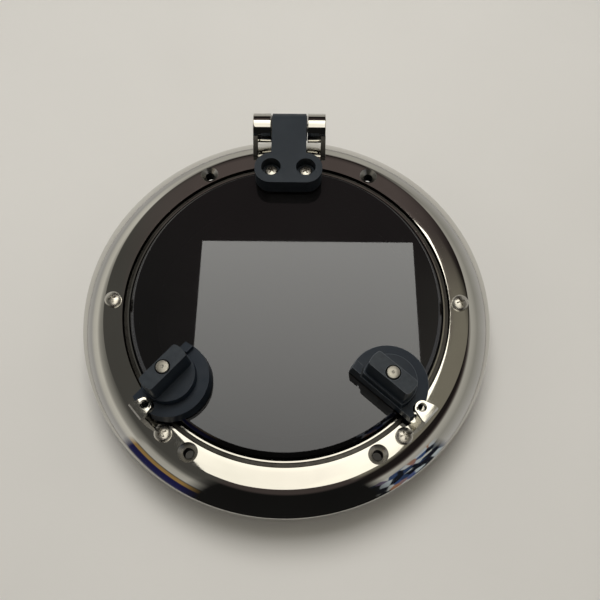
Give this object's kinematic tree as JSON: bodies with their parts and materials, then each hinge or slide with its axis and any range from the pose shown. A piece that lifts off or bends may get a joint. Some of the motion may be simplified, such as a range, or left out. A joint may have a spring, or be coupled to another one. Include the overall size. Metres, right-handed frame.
{
  "type": "opening porthole",
  "caption": "Round opening porthole with a polished flange ring, a hinged smoked pane and quarter-turn knobs that hold it under catches.",
  "frame": {"origin": "on the porthole's axis, in the plane where the flange seats on the hull", "axes": "+Z into the cabin (the knobs' side), +Y towards the hinge, +X to the right when the pane is seen from the cabin with the hinge at the top"},
  "size_m": [0.2482, 0.2566, 0.0719],
  "materials": {
    "polished_steel": "polished stainless steel",
    "catch_steel": "polished stainless steel",
    "screw_steel": "bright stainless steel",
    "stud_steel": "satin turned end",
    "anodised_alloy": "black anodised",
    "gasket_rubber": "matt",
    "smoked_pane": "polished smoked acrylic",
    "dark_plastic": "satin moulded",
    "bush_brass": "turned",
    "washer_nylon": "moulded"
  },
  "bodies": {
    "frame": {"spigot_ring": "anodised_alloy", "flange_ring": "polished_steel", "pane_gasket": "gasket_rubber", "frame_screws": "screw_steel", "catch_left": "catch_steel", "catch_right": "catch_steel", "catch_screws": "screw_steel", "hinge_bracket": "polished_steel", "hinge_bracket_screws": "screw_steel", "hinge_pin": "screw_steel"},
    "pane": {"glass_pane": "smoked_pane", "hinge_arm": "dark_plastic", "hinge_bushes": "bush_brass", "hinge_washers": "washer_nylon", "hinge_pad": "gasket_rubber", "hinge_screws": "screw_steel", "hinge_inserts": "bush_brass", "stud_left": "stud_steel", "stud_right": "stud_steel", "insert_left": "bush_brass", "insert_right": "bush_brass", "knob_washers": "washer_nylon"},
    "knob_l": {"knob_left": "dark_plastic", "knob_bush_left": "bush_brass"},
    "knob_r": {"knob_right": "dark_plastic", "knob_bush_right": "bush_brass"}
  },
  "joints": [
    {"name": "pane_hinge", "type": "hinge", "parent": "frame", "child": "pane", "pos_m": [0, 0.123, 0.017], "axis": [-1, 0, 0], "range_deg": [0, 110]},
    {"name": "knob_left_turn", "type": "hinge", "parent": "pane", "child": "knob_l", "pos_m": [-0.06327, -0.05216, 0.023], "axis": [0, 0, 1], "range_deg": [-60, 100]},
    {"name": "knob_right_turn", "type": "hinge", "parent": "pane", "child": "knob_r", "pos_m": [0.05778, -0.05388, 0.023], "axis": [0, 0, 1], "range_deg": [-60, 100]}
  ]
}
